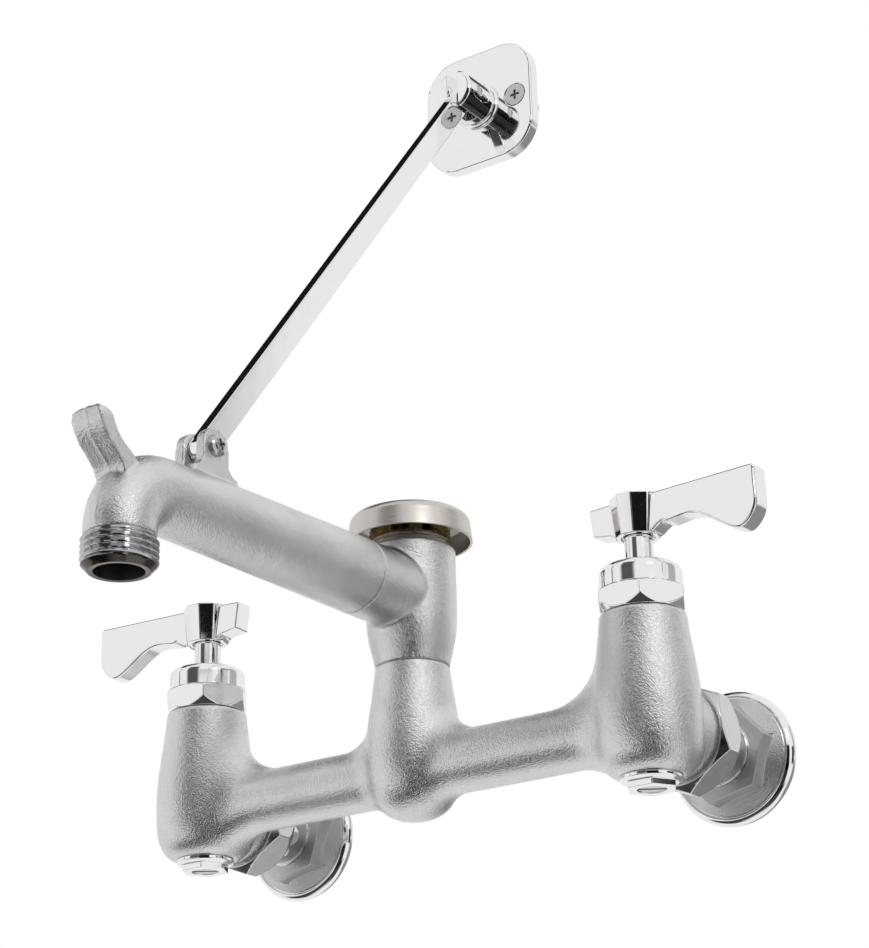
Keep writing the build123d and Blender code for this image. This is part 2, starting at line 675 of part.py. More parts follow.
def spout_path(start_y, end_z):
    """Centre line of the waterway, from a place along the tube round the elbow and down."""
    with BuildLine(Plane.YZ) as route:
        Line((start_y, spout_z), (elbow_start, spout_z))
        JernArc((elbow_start, spout_z), (-1, 0), elbow_r, 90)
        Line((outlet_y, spout_z - elbow_r), (outlet_y, end_z))
    return route.line


def elbow_plane(turn):
    """Section plane of the elbow after this many degrees of bend, facing the outlet."""
    angle = radians(turn)
    middle = (0, elbow_start - elbow_r * sin(angle), elbow_z - elbow_r * (1 - cos(angle)))
    return Plane(origin=middle, x_dir=(1, 0, 0), z_dir=(0, -cos(angle), -sin(angle)))


# pail hook: a tongue that rises from the crown of the elbow and curves forward, with a rounded tip
hook_tip_y = outlet_y - 15.3
hook_end_z = hook_tip - 2.4
with BuildPart() as hook:
    with BuildSketch(Plane.YZ.offset(-hook_width / 2)):
        with BuildLine():
            Line((hook_tip_y + 11.7, elbow_z - 4.5), (hook_tip_y + 22.2, elbow_z - 0.5))
            Spline((hook_tip_y + 22.2, elbow_z - 0.5), (hook_tip_y + 15.0, hook_tip - 15.2),
                   (hook_tip_y + 8.0, hook_tip - 10.3), (hook_tip_y + 3.2, hook_end_z),
                   tangents=((-1, 0.6), (-0.35, 1)))
            ThreePointArc((hook_tip_y + 3.2, hook_end_z), (hook_tip_y, hook_tip),
                          (hook_tip_y - 3.0, hook_end_z))
            Spline((hook_tip_y - 3.0, hook_end_z), (hook_tip_y - 1.6, hook_tip - 7.4),
                   (hook_tip_y + 2.2, hook_tip - 12.5), (hook_tip_y + 7.2, hook_tip - 16.9),
                   (hook_tip_y + 11.7, elbow_z - 4.5), tangents=((0.05, -1), (0.4, -1)))
        make_face()
    extrude(amount=hook_width)
    with BuildSketch(Plane.XZ.offset(-elbow_start)):
        with Locations((0, hook_tip)):
            RectangleRounded(hook_width, 2 * elbow_r, hook_corner_r, align=(Align.CENTER, Align.MAX))
    extrude(amount=2 * elbow_r + hook_width, mode=Mode.INTERSECT)

with BuildPart() as spout:
    with BuildSketch(Plane(origin=(0, joint_y, spout_z), x_dir=(1, 0, 0), z_dir=(0, -1, 0))):
        Circle(spout_r)
    with BuildSketch(elbow_plane(0)):
        Circle(elbow_tube_r)
    loft()
    for step in range(5):
        turn = 22.5 * step
        with BuildSketch(elbow_plane(turn)):
            Circle(elbow_tube_r + (outlet_neck_r - elbow_tube_r) * turn / 90)
    loft()
    with BuildSketch(elbow_plane(90)):
        Circle(outlet_neck_r)
    extrude(amount=elbow_z - elbow_r - thread_top)
    add(hook.part)
    # brace ears on top of the tube
    ear_near = brace_y - ear_r
    ear_far = brace_y + ear_r
    foot_top = tube_crown + ear_foot_r
    with BuildSketch(Plane.YZ.offset(-ear_gap / 2 - ear_thick)):
        with BuildLine():
            Polyline((ear_far, brace_z), (ear_far, foot_top))
            RadiusArc((ear_far, foot_top), (ear_far + ear_foot_r, tube_crown), -ear_foot_r)
            Polyline((ear_far + ear_foot_r, tube_crown), (ear_far + ear_foot_r, spout_z),
                     (ear_near - ear_foot_r, spout_z), (ear_near - ear_foot_r, tube_crown))
            RadiusArc((ear_near - ear_foot_r, tube_crown), (ear_near, foot_top), -ear_foot_r)
            Polyline((ear_near, foot_top), (ear_near, brace_z))
            ThreePointArc((ear_near, brace_z), (brace_y, brace_z + ear_r), (ear_far, brace_z))
        make_face()
    extrude(amount=ear_gap + 2 * ear_thick)
    slot_floor = spout_z + spout_r + 0.3
    with BuildSketch(Plane.YZ.offset(-ear_gap / 2)):
        with Locations((brace_y, slot_floor)):
            Rectangle(4 * ear_r, 4 * ear_r, align=(Align.CENTER, Align.MIN))
    extrude(amount=ear_gap, mode=Mode.SUBTRACT)
    with BuildSketch(Plane.YZ.offset(-2 * ear_r)):
        with Locations((brace_y, brace_z)):
            Circle(brace_bolt_r + run_gap)
    extrude(amount=4 * ear_r, mode=Mode.SUBTRACT)
    # outlet with its hose thread, drawn as a plain cylinder at the thread's major radius
    revolve(turned([(0, outlet_foot), (thread_r - 1.6, outlet_foot), (thread_r, outlet_foot + 1.4),
                    (thread_r, thread_top), (0, thread_top)], 0, outlet_y), axis=vertical(0, outlet_y))
    # spigot that seats in the breaker's side boss
    with BuildSketch(Plane.XZ.offset(-joint_y)):
        with Locations((0, spout_z)):
            Circle(joint_bore_r - run_gap)
    extrude(amount=1 - joint_depth)
    with BuildSketch(Plane.XZ.offset(1 - joint_y - joint_depth)):
        with Locations((0, spout_z)):
            Circle(outlet_bore_r)
    sweep(path=spout_path(joint_y + joint_depth - 1, outlet_foot), mode=Mode.SUBTRACT)
save(spout.part, "spout")

with BuildPart() as spout_gasket:
    with BuildSketch(Plane.XZ.offset(-joint_y - joint_depth)):
        with Locations((0, spout_z)):
            Circle(joint_bore_r - 0.2)
            Circle(outlet_bore_r, mode=Mode.SUBTRACT)
    extrude(amount=1)
save(spout_gasket.part, "spout_gasket")

# ---- brace: flat bar from the ears on the spout up to the wall bracket ----
brace_foot = Vector(0, brace_y, brace_z)
brace_head = Vector(0, bracket_pivot_y, bracket_z)
brace_run = brace_head - brace_foot
with BuildPart() as brace_bar:
    bar_side = brace_foot - Vector(brace_bar_thick / 2, 0, 0)
    with BuildSketch(Plane(origin=bar_side, x_dir=brace_run, z_dir=(1, 0, 0))):
        with Locations((brace_run.length / 2, 0)):
            SlotCenterToCenter(brace_run.length, brace_bar_width)
        with Locations((0, 0)):
            Circle(brace_bolt_r + run_gap, mode=Mode.SUBTRACT)
        with Locations((brace_run.length, 0)):
            Circle(bracket_pin_r + run_gap, mode=Mode.SUBTRACT)
    extrude(amount=brace_bar_thick)
save(brace_bar.part, "brace_bar")


def across(radius, x_from, x_to, y, z):
    """A round pin that lies along X."""
    with BuildPart() as pin:
        with BuildSketch(Plane.YZ.offset(x_from)):
            with Locations((y, z)):
                Circle(radius)
        extrude(amount=x_to - x_from)
    return pin.part


ear_face = ear_gap / 2 + ear_thick
brace_head_r = 4.0
brace_head_end = ear_face + 2.2
with BuildPart() as brace_screw:
    with BuildSketch(Plane(origin=(0, brace_y, brace_z), x_dir=(1, 0, 0), z_dir=(0, 0, 1))):
        with BuildLine():
            Polyline((-ear_face, 0), (-ear_face, brace_bolt_r), (ear_face, brace_bolt_r),
                     (ear_face, brace_head_r), (ear_face + 1.0, brace_head_r),
                     (ear_face + 1.8, brace_head_r - 1.0), (brace_head_end, 1.7), (brace_head_end, 0),
                     close=True)
        make_face()
    revolve(axis=Axis((0, brace_y, brace_z), (1, 0, 0)))
    with BuildSketch(Plane.YZ.offset(brace_head_end)):
        with Locations(Location((brace_y, brace_z), 20)):
            Rectangle(4.2, cross_slot)
            Rectangle(cross_slot, 4.2)
    extrude(amount=-1.4, mode=Mode.SUBTRACT)
save(brace_screw.part, "brace_screw")

# ---- wall bracket with its slotted head, pin and two countersunk wall screws ----
with BuildPart() as bracket:
    with BuildSketch(Plane.XZ):
        with Locations((0, bracket_z)):
            RectangleRounded(plate_width, plate_height, plate_corner_r)
    extrude(amount=plate_thick)
    fillet(bracket.edges().group_by(Axis.Y)[0], radius=0.8)
    with BuildSketch(Plane(origin=(0, 0, bracket_z))):
        with BuildLine():
            Polyline((0, -1), (post_r + post_flare, -1), (post_r + post_flare, -plate_thick))
            RadiusArc((post_r + post_flare, -plate_thick), (post_r, -plate_thick - post_flare), post_flare)
            Polyline((post_r, -plate_thick - post_flare), (post_r, post_front + 1), (post_r - 1, post_front),
                     (0, post_front), (0, -1))
        make_face()
    revolve(axis=Axis((0, 0, bracket_z), (0, 1, 0)))
    with BuildSketch(Plane.XZ.offset(-post_slot_floor)):
        with Locations((0, bracket_z)):
            Rectangle(post_slot, 3 * post_r)
    extrude(amount=2 * post_r, mode=Mode.SUBTRACT)
    with BuildSketch(Plane.YZ.offset(-2 * post_r)):
        with Locations((bracket_pivot_y, bracket_z)):
            Circle(bracket_pin_r + run_gap)
    extrude(amount=4 * post_r, mode=Mode.SUBTRACT)
    with Locations(Plane(origin=(0, -plate_thick, bracket_z), x_dir=(1, 0, 0), z_dir=(0, -1, 0))):
        with Locations((-wall_screw_x, 0), (wall_screw_x, 0)):
            CounterSinkHole(wall_screw_r + 0.2, wall_screw_head_r + free_gap, counter_sink_angle=90)
save(bracket.part, "bracket")
save(across(bracket_pin_r, 0.4 - post_r, post_r - 0.4, bracket_pivot_y, bracket_z), "bracket_pin")

with BuildPart() as wall_screws:
    for x in (-wall_screw_x, wall_screw_x):
        with BuildSketch(Plane(origin=(x, 0, bracket_z))):
            with BuildLine():
                Polyline((0, -plate_thick), (wall_screw_head_r, -plate_thick),
                         (wall_screw_neck_r, -plate_thick + 3.0), (wall_screw_neck_r, wall_screw_thread),
                         (wall_screw_r, wall_screw_thread), (wall_screw_r, wall_screw_tip - 3),
                         (0.4, wall_screw_tip), (0, wall_screw_tip), close=True)
            make_face()
        revolve(axis=Axis((x, 0, bracket_z), (0, 1, 0)))
    with BuildSketch(Plane.XZ.offset(plate_thick)):
        with Locations((-wall_screw_x, bracket_z), (wall_screw_x, bracket_z)):
            Rectangle(4.6, cross_slot)
            Rectangle(cross_slot, 4.6)
    extrude(amount=-1.8, mode=Mode.SUBTRACT)
save(wall_screws.part, "wall_screws")
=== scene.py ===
import json
from math import cos, pi, radians, sin

import bmesh
import bpy
import numpy as np
from mathutils import Matrix, Vector

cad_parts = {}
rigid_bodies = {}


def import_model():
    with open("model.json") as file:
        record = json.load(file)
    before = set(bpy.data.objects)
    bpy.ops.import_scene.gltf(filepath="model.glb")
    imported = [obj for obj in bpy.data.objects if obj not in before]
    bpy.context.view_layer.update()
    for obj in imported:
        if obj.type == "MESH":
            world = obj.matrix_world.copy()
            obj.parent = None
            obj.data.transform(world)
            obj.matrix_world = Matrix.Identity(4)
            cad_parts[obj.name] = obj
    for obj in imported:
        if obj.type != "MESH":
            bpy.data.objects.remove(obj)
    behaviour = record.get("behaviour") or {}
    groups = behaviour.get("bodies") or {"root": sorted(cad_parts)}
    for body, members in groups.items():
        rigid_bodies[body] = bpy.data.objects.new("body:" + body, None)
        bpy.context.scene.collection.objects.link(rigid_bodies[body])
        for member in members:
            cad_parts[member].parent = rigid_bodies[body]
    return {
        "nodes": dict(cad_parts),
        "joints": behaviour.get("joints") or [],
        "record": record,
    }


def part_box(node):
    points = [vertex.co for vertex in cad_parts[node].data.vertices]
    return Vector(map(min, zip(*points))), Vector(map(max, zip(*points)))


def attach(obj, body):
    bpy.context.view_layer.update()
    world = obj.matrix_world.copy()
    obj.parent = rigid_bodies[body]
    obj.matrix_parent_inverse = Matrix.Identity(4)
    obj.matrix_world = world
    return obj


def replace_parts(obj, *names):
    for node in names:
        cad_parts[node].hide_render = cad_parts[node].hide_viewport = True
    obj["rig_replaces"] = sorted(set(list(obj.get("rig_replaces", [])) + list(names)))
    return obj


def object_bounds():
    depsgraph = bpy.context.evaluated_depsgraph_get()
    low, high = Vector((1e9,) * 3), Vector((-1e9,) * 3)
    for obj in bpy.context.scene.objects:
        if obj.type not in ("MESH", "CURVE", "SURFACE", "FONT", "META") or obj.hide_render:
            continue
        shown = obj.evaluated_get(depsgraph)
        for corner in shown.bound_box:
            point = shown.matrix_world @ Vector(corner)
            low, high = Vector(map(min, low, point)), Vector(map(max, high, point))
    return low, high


# Looks of a wall-mount service-sink faucet: rough chrome castings, polished levers, bonnets and
# bracket, a spun hood, and a real hose thread. Metres, in the frame of the CAD model.
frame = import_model()
cad_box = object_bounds()

MM = 0.001
SIDES = ("hot", "cold")
mounts = {mount["name"]: mount for mount in frame["record"]["mounts"]}
joints = {joint["name"]: joint for joint in frame["joints"]}
valve_x, valve_y = joints["cold_lever_turn"]["pos_m"][:2]
outlet_y = mounts["outlet"]["pos_m"][1]
spout_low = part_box("spout")[0]
thread_length = mounts["outlet"]["dims"]["length_mm"] * MM
thread_top = mounts["outlet"]["pos_m"][2] + thread_length / 2
thread_foot = spout_low.z
joint_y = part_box("breaker_body")[0].y        # face where the spout meets the breaker
SPIGOT_LENGTH = 9 * MM                       # of the breaker, inside the column
column_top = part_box("breaker_body")[0].z + SPIGOT_LENGTH
ELBOW_R = 18.0 * MM                          # bend of the spout's axis
ELBOW_Z = 66.5 * MM                          # height of the tube's axis where the elbow starts
TUBE_Z = 67.9 * MM                           # and at the joint with the breaker
WATERWAY_R = 10.6 * MM                       # a little more than the spout's bore


# ---- shader helpers ----
def add(tree, kind, inputs=None, **settings):
    """Adds one node; its inputs are numbers or sockets of other nodes."""
    node = tree.nodes.new(kind)
    for name, value in settings.items():
        setattr(node, name, value)
    for name, value in (inputs or {}).items():
        if isinstance(value, bpy.types.NodeSocket):
            tree.links.new(value, node.inputs[name])
        else:
            node.inputs[name].default_value = value
    return node


def maths(tree, operation, first, second=0.0):
    return add(tree, "ShaderNodeMath", {0: first, 1: second}, operation=operation).outputs[0]


def remap(tree, value, low, high, to_low=0.0, to_high=1.0, smooth=True):
    """Value between low and high, carried over to the other range and held there outside it."""
    node = add(tree, "ShaderNodeMapRange",
               {"Value": value, "From Min": low, "From Max": high, "To Min": to_low, "To Max": to_high},
               interpolation_type="SMOOTHSTEP" if smooth else "LINEAR")
    return node.outputs["Result"]


def place(tree):
    """Position on the piece, in metres, which moves with the piece."""
    return add(tree, "ShaderNodeTexCoord").outputs["Object"]


def noise(tree, vector, scale, detail=3.0, rough=0.55):
    """Cloudy pattern from 0 to 1, with about this many patches to the metre."""
    node = add(tree, "ShaderNodeTexNoise",
               {"Vector": vector, "Scale": scale, "Detail": detail, "Roughness": rough})
    return node.outputs["Fac"]


def grains(tree, vector, scale):
    """Cell pattern: distance from the middle of the nearest grain."""
    node = add(tree, "ShaderNodeTexVoronoi", {"Vector": vector, "Scale": scale, "Randomness": 1.0})
    return node.outputs["Distance"]


def blend_colors(tree, factor, first, second):
    """Colours are triples, or sockets of other nodes."""
    ends = [tone if isinstance(tone, bpy.types.NodeSocket) else (*tone, 1.0) for tone in (first, second)]
    return add(tree, "ShaderNodeMix", {0: factor, 6: ends[0], 7: ends[1]}, data_type="RGBA").outputs[2]


def bump(tree, height, depth, normal=None):
    """Relief of this depth in metres."""
    inputs = {"Height": height, "Distance": depth, "Strength": 1.0}
    if normal is not None:
        inputs["Normal"] = normal
    return add(tree, "ShaderNodeBump", inputs).outputs["Normal"]


def start_material(name, metallic, roughness):
    material = bpy.data.materials.new(name)
    material.use_nodes = True
    shader = material.node_tree.nodes["Principled BSDF"]
    shader.inputs["Metallic"].default_value = metallic
    shader.inputs["Roughness"].default_value = roughness
    return material, material.node_tree, shader


def finish_with(tree, shader, **sockets):
    for name, socket in sockets.items():
        tree.links.new(socket, shader.inputs[name.replace("_", " ")])


# ---- materials ----
def cast_chrome():
    """Chrome over a sand casting: coarse sparkling grain with finer grain in it."""
    material, tree, shader = start_material("cast_chrome", 1.0, 0.3)
    spot = place(tree)
    coarse = noise(tree, spot, 1050.0, detail=4.0, rough=0.65)
    fine = grains(tree, spot, 1700.0)
    patches = noise(tree, spot, 60.0, detail=2.0)
    relief = bump(tree, coarse, 0.22 * MM)
    relief = bump(tree, fine, 0.09 * MM, relief)
    finish_with(tree, shader,
                Base_Color=blend_colors(tree, patches, (0.68, 0.68, 0.69), (0.81, 0.81, 0.82)),
                Roughness=remap(tree, coarse, 0.3, 0.7, 0.17, 0.26), Normal=relief)
    return material


def polished_chrome():
    """Bright plate with faint polishing waves and smudges."""
    material, tree, shader = start_material("polished_chrome", 1.0, 0.05)
    spot = place(tree)
    smudge = noise(tree, spot, 130.0, detail=5.0, rough=0.65)
    waves = noise(tree, spot, 55.0, detail=1.0)
    finish_with(tree, shader,
                Base_Color=blend_colors(tree, smudge, (0.90, 0.90, 0.91), (0.95, 0.95, 0.96)),
                Roughness=remap(tree, smudge, 0.35, 0.75, 0.035, 0.11),
                Normal=bump(tree, waves, 0.02 * MM))
    return material


def turned_chrome(name, color, roughness):
    """Plated turning with fine tool marks round and a soft sheen."""
    material, tree, shader = start_material(name, 1.0, roughness)
    spot = place(tree)
    marks = add(tree, "ShaderNodeMapping", {"Vector": spot, "Scale": (120.0, 2600.0, 120.0)}).outputs[0]
    lines = noise(tree, marks, 1.0, detail=2.0)
    cloud = noise(tree, spot, 220.0, detail=4.0)
    pale = [min(1.0, part * 1.12) for part in color]
    finish_with(tree, shader, Base_Color=blend_colors(tree, cloud, color, pale),
                Roughness=remap(tree, cloud, 0.3, 0.7, roughness * 0.8, roughness * 1.35),
                Normal=bump(tree, lines, 0.006 * MM))
    return material


def flange_chrome():
    """Wall flange: rough as cast on its face and hexagon, polished on its rim and tail."""
    material, tree, shader = start_material("flange_chrome", 1.0, 0.2)
    spot = place(tree)
    axes = add(tree, "ShaderNodeSeparateXYZ", {"Vector": spot}).outputs
    across = maths(tree, "SUBTRACT", maths(tree, "ABSOLUTE", axes["X"]), valve_x)
    square = maths(tree, "ADD", maths(tree, "MULTIPLY", across, across),
                   maths(tree, "MULTIPLY", axes["Z"], axes["Z"]))
    radius = maths(tree, "SQRT", square)
    face = maths(tree, "MULTIPLY", remap(tree, radius, 12.3 * MM, 12.9 * MM),
                 remap(tree, radius, 22.6 * MM, 22.2 * MM))
    cast = maths(tree, "MULTIPLY", face, remap(tree, axes["Y"], -3.5 * MM, -4.3 * MM))
    coarse = noise(tree, spot, 1500.0, detail=4.0, rough=0.6)
    fine = grains(tree, spot, 1800.0)
    flat = bump(tree, maths(tree, "MULTIPLY", coarse, cast), 0.14 * MM)
    finish_with(tree, shader,
                Base_Color=blend_colors(tree, cast, (0.93, 0.93, 0.94), (0.66, 0.66, 0.67)),
                Roughness=remap(tree, cast, 0.0, 1.0, 0.06, 0.34, smooth=False),
                Normal=bump(tree, maths(tree, "MULTIPLY", fine, cast), 0.04 * MM, flat))
    return material


def brushed_cap():
    """Spun hood, brushed in circles about its axis, warm nickel in tone."""
    material, tree, shader = start_material("brushed_cap", 1.0, 0.3)
    shader.inputs["Anisotropic"].default_value = 0.55
    spot = place(tree)
    axes = add(tree, "ShaderNodeSeparateXYZ", {"Vector": spot}).outputs
    along = maths(tree, "SUBTRACT", axes["Y"], valve_y)
    square = maths(tree, "ADD", maths(tree, "MULTIPLY", axes["X"], axes["X"]),
                   maths(tree, "MULTIPLY", along, along))
    radius = maths(tree, "SQRT", square)
    turn = maths(tree, "ARCTAN2", along, axes["X"])
    ringed = add(tree, "ShaderNodeCombineXYZ",
                 {"X": maths(tree, "MULTIPLY", turn, 1.5), "Y": maths(tree, "MULTIPLY", axes["Z"], 5200.0),
                  "Z": maths(tree, "MULTIPLY", radius, 5200.0)}).outputs[0]
    lines = noise(tree, ringed, 1.0, detail=3.0, rough=0.7)
    finish_with(tree, shader,
                Base_Color=blend_colors(tree, lines, (0.62, 0.585, 0.55), (0.74, 0.70, 0.66)),
                Roughness=remap(tree, lines, 0.3, 0.7, 0.24, 0.38),
                Normal=bump(tree, lines, 0.008 * MM))
    return material


def thread_chrome():
    """Machined outlet: plate in painted half shadow, its cut end painted dark as a reflection, and brass
    showing low on the thread.
    """
    material, tree, shader = start_material("thread_chrome", 1.0, 0.14)
    spot = place(tree)
    axes = add(tree, "ShaderNodeSeparateXYZ", {"Vector": spot}).outputs
    worn = remap(tree, noise(tree, spot, 240.0, detail=5.0, rough=0.7), 0.60, 0.68)
    low = remap(tree, axes["Z"], thread_foot + 4.5 * MM, thread_foot + 1.0 * MM)
    brass_spots = maths(tree, "MULTIPLY", worn, low)
    # painted reflection: the lowest few millimetres, at the chamfered end, are painted near black
    painted_dark_end = remap(tree, axes["Z"], thread_foot + 2.7 * MM, thread_foot + 2.2 * MM)
    # painted shade: the plate colour is held at half brightness as half shadow
    plate = blend_colors(tree, painted_dark_end, (0.50, 0.50, 0.51), (0.10, 0.09, 0.085))
    marks = add(tree, "ShaderNodeMapping", {"Vector": spot, "Scale": (90.0, 90.0, 4200.0)}).outputs[0]
    finish_with(tree, shader,
                Base_Color=blend_colors(tree, brass_spots, plate, (0.42, 0.27, 0.13)),
                Roughness=remap(tree, noise(tree, spot, 300.0, detail=4.0), 0.3, 0.7, 0.05, 0.15),
                Normal=bump(tree, noise(tree, marks, 1.0, detail=2.0), 0.006 * MM))
    return material


def turned_brass():
    """Bare brass with tool marks and some tarnish."""
    material, tree, shader = start_material("turned_brass", 1.0, 0.28)
    spot = place(tree)
    cloud = noise(tree, spot, 190.0, detail=4.0)
    marks = add(tree, "ShaderNodeMapping", {"Vector": spot, "Scale": (150.0, 150.0, 3200.0)}).outputs[0]
    finish_with(tree, shader,
                Base_Color=blend_colors(tree, cloud, (0.60, 0.45, 0.22), (0.86, 0.74, 0.47)),
                Roughness=remap(tree, cloud, 0.3, 0.7, 0.2, 0.36),
                Normal=bump(tree, noise(tree, marks, 1.0, detail=2.0), 0.01 * MM))
    return material


def screw_steel():
    """Stainless screws, slightly clouded."""
    material, tree, shader = start_material("screw_steel", 1.0, 0.22)
    spot = place(tree)
    cloud = noise(tree, spot, 500.0, detail=5.0, rough=0.65)
    finish_with(tree, shader,
                Base_Color=blend_colors(tree, cloud, (0.42, 0.41, 0.40), (0.66, 0.65, 0.64)),
                Roughness=remap(tree, cloud, 0.3, 0.7, 0.07, 0.18),
                Normal=bump(tree, cloud, 0.015 * MM))
    return material


def dull(name, dark, light, roughness, scale, depth):
    """Non-metal with a fine grain: seals, ceramic and plastics."""
    material, tree, shader = start_material(name, 0.0, roughness)
    spot = place(tree)
    grain = noise(tree, spot, scale, detail=4.0, rough=0.6)
    finish_with(tree, shader, Base_Color=blend_colors(tree, grain, dark, light),
                Roughness=remap(tree, grain, 0.3, 0.7, roughness * 0.85, min(1.0, roughness * 1.2)),
                Normal=bump(tree, grain, depth * MM))
    return material


materials = {
    # painted shade: the waterway is near black, for the unlit inside of the bores
    "waterway": dull("waterway", (0.004, 0.004, 0.004), (0.012, 0.011, 0.010), 0.5, 500.0, 0.02),
    "cast_chrome": cast_chrome(),
    "polished_chrome": polished_chrome(),
    "satin_chrome": turned_chrome("satin_chrome", (0.66, 0.66, 0.665), 0.2),
    "flange": flange_chrome(),
    "brushed_cap": brushed_cap(),
    "thread": thread_chrome(),
    "brass": turned_brass(),
    "stainless_screw": screw_steel(),
    "rubber_seal": dull("rubber_seal", (0.012, 0.012, 0.013), (0.035, 0.035, 0.036), 0.55, 900.0, 0.01),
    "fibre_seal": dull("fibre_seal", (0.16, 0.08, 0.05), (0.30, 0.17, 0.11), 0.8, 1400.0, 0.03),
    "ceramic_disc": dull("ceramic_disc", (0.78, 0.77, 0.74), (0.88, 0.87, 0.85), 0.16, 700.0, 0.002),
    "float_plastic": dull("float_plastic", (0.72, 0.71, 0.67), (0.82, 0.81, 0.78), 0.42, 600.0, 0.006),
    "hot_button": dull("hot_button", (0.42, 0.012, 0.010), (0.55, 0.022, 0.018), 0.22, 350.0, 0.004),
    "cold_button": dull("cold_button", (0.008, 0.035, 0.32), (0.014, 0.055, 0.45), 0.22, 350.0, 0.004),
}


# ---- mesh helpers ----
WELD = 2e-6                                  # metres between points that are one point
SHARP_EDGE = 24.0                            # degrees from which an edge is rounded
SMOOTH_ROUNDS = 20                           # pulls and pushes that wear a casting's voxels smooth
EVEN_ROUNDS = 4                              # the first of them, which take in the machined faces too
EVEN_SHARE = 0.6
PULL, PUSH = 0.50, -0.515
SWELL_ROUNDS = 24
GRAIN_DEPTH = 0.020 * MM
SWELL_DEPTH = 0.012 * MM


def fresh(name, mesh, body, slot, material, *stands_for):
    """A new piece that rides on a body and stands for CAD nodes."""
    piece = bpy.data.objects.new(name, mesh)
    bpy.context.scene.collection.objects.link(piece)
    mesh.materials.clear()
    mesh.materials.append(materials[material])
    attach(piece, body)
    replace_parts(piece, *stands_for)
    return piece


def welded(node):
    """Copy of a node's mesh with its seams welded and its flat faces made whole."""
    form = bmesh.new()
    form.from_mesh(frame["nodes"][node].data)
    bmesh.ops.remove_doubles(form, verts=form.verts, dist=WELD)
    bmesh.ops.dissolve_limit(form, angle_limit=radians(0.4), verts=form.verts, edges=form.edges)
    mesh = bpy.data.meshes.new(node + "_mesh")
    form.to_mesh(mesh)
    form.free()
    return mesh


def through_modifiers(mesh, *steps):
    """The mesh after these modifiers, each a kind and its settings."""
    holder = bpy.data.objects.new("holder", mesh)
    bpy.context.scene.collection.objects.link(holder)
    for kind, settings in steps:
        modifier = holder.modifiers.new(kind.lower(), kind)
        for name, value in settings.items():
            setattr(modifier, name, value)
    graph = bpy.context.evaluated_depsgraph_get()
    result = bpy.data.meshes.new_from_object(holder.evaluated_get(graph))
    bpy.data.objects.remove(holder)
    return result


def machined(node, body, slot, material, edge):
    """A turned or milled piece: its sharp edges are broken by a small round, edge mm wide."""
    mesh = welded(node)
    for face in mesh.polygons:
        face.use_smooth = True
    round_edges = ("BEVEL", {"width": edge * MM, "segments": 3, "limit_method": "ANGLE",
                             "angle_limit": radians(SHARP_EDGE), "use_clamp_overlap": False,
                             "miter_outer": "MITER_SHARP", "harden_normals": False})
    even_shade = ("WEIGHTED_NORMAL", {"mode": "FACE_AREA_WITH_ANGLE", "weight": 60, "keep_sharp": False})
    mesh = through_modifiers(mesh, round_edges, even_shade)
    return fresh(node + "_finish", mesh, body, slot, material, node)


def neighbours_mean(points, edges, count):
    """For each point, the mean of the points that its edges lead to."""
    total = np.empty_like(points)
    for axis in range(3):
        part = np.bincount(edges[:, 0], points[edges[:, 1], axis], len(points))
        part += np.bincount(edges[:, 1], points[edges[:, 0], axis], len(points))
        total[:, axis] = part
    return total / count[:, None]


def near(distance, soft):
    """1 on a place and 0 beyond this distance from it."""
    return np.clip(1 - np.abs(distance) / soft, 0, 1)


def casting(name, mesh, node, voxel, machined_share, seam=None):
    """Sand-cast piece: soft fillets in every corner, a coarse skin, and crisp machined faces.

    voxel is in mm. machined_share gives 1 where a cutter has been and 0 on the raw skin; seam gives
    the height of a parting line in metres."""
    mesh = through_modifiers(mesh, ("REMESH", {"mode": "VOXEL", "voxel_size": voxel * MM,
                                               "use_smooth_shade": True}))
    points = np.empty(len(mesh.vertices) * 3)
    mesh.vertices.foreach_get("co", points)
    points = points.reshape(-1, 3)
    edges = np.empty(len(mesh.edges) * 2, np.int32)
    mesh.edges.foreach_get("vertices", edges)
    edges = edges.reshape(-1, 2)
    count = np.bincount(edges.ravel(), minlength=len(points))
    raw = 1 - machined_share(points)
    for turn in range(SMOOTH_ROUNDS):
        # pulls and pushes take turns, so that the skin gets smooth and keeps its size
        share = np.maximum(raw, EVEN_SHARE) if turn < EVEN_ROUNDS else raw
        pull = (PUSH if turn % 2 else PULL) * share
        points += pull[:, None] * (neighbours_mean(points, edges, count) - points)
    mesh.vertices.foreach_set("co", points.ravel())
    mesh.update()
    normals = np.empty(len(points) * 3)
    mesh.vertices.foreach_get("normal", normals)
    normals = normals.reshape(-1, 3)
    rough = np.random.default_rng(len(name)).normal(0, 1, (len(points), 3))
    grain = 0.5 * rough + 0.5 * neighbours_mean(rough, edges, count)
    swell = rough
    for _ in range(SWELL_ROUNDS):
        swell = neighbours_mean(swell, edges, count)
    swell /= np.abs(swell).std()
    height = GRAIN_DEPTH * grain[:, 0] + SWELL_DEPTH * np.clip(swell[:, 0], -2, 2)
    if seam is not None:
        height = height + seam(points)
    points += normals * (height * raw)[:, None]
    mesh.vertices.foreach_set("co", points.ravel())
    for face in mesh.polygons:
        face.use_smooth = True
    mesh.update()
    return fresh(name, mesh, "faucet", "cast_chrome", "cast_chrome", node)


def darken(piece, inside):
    """Gives the faces whose centres lie inside the waterway its unplated look, painted near black as the
    shade in the bore.
    """
    mesh = piece.data
    mesh.materials.append(materials["waterway"])
    centres = np.empty(len(mesh.polygons) * 3)
    mesh.polygons.foreach_get("center", centres)
    chosen = inside(centres.reshape(-1, 3)).astype(np.int32)
    mesh.polygons.foreach_set("material_index", chosen)


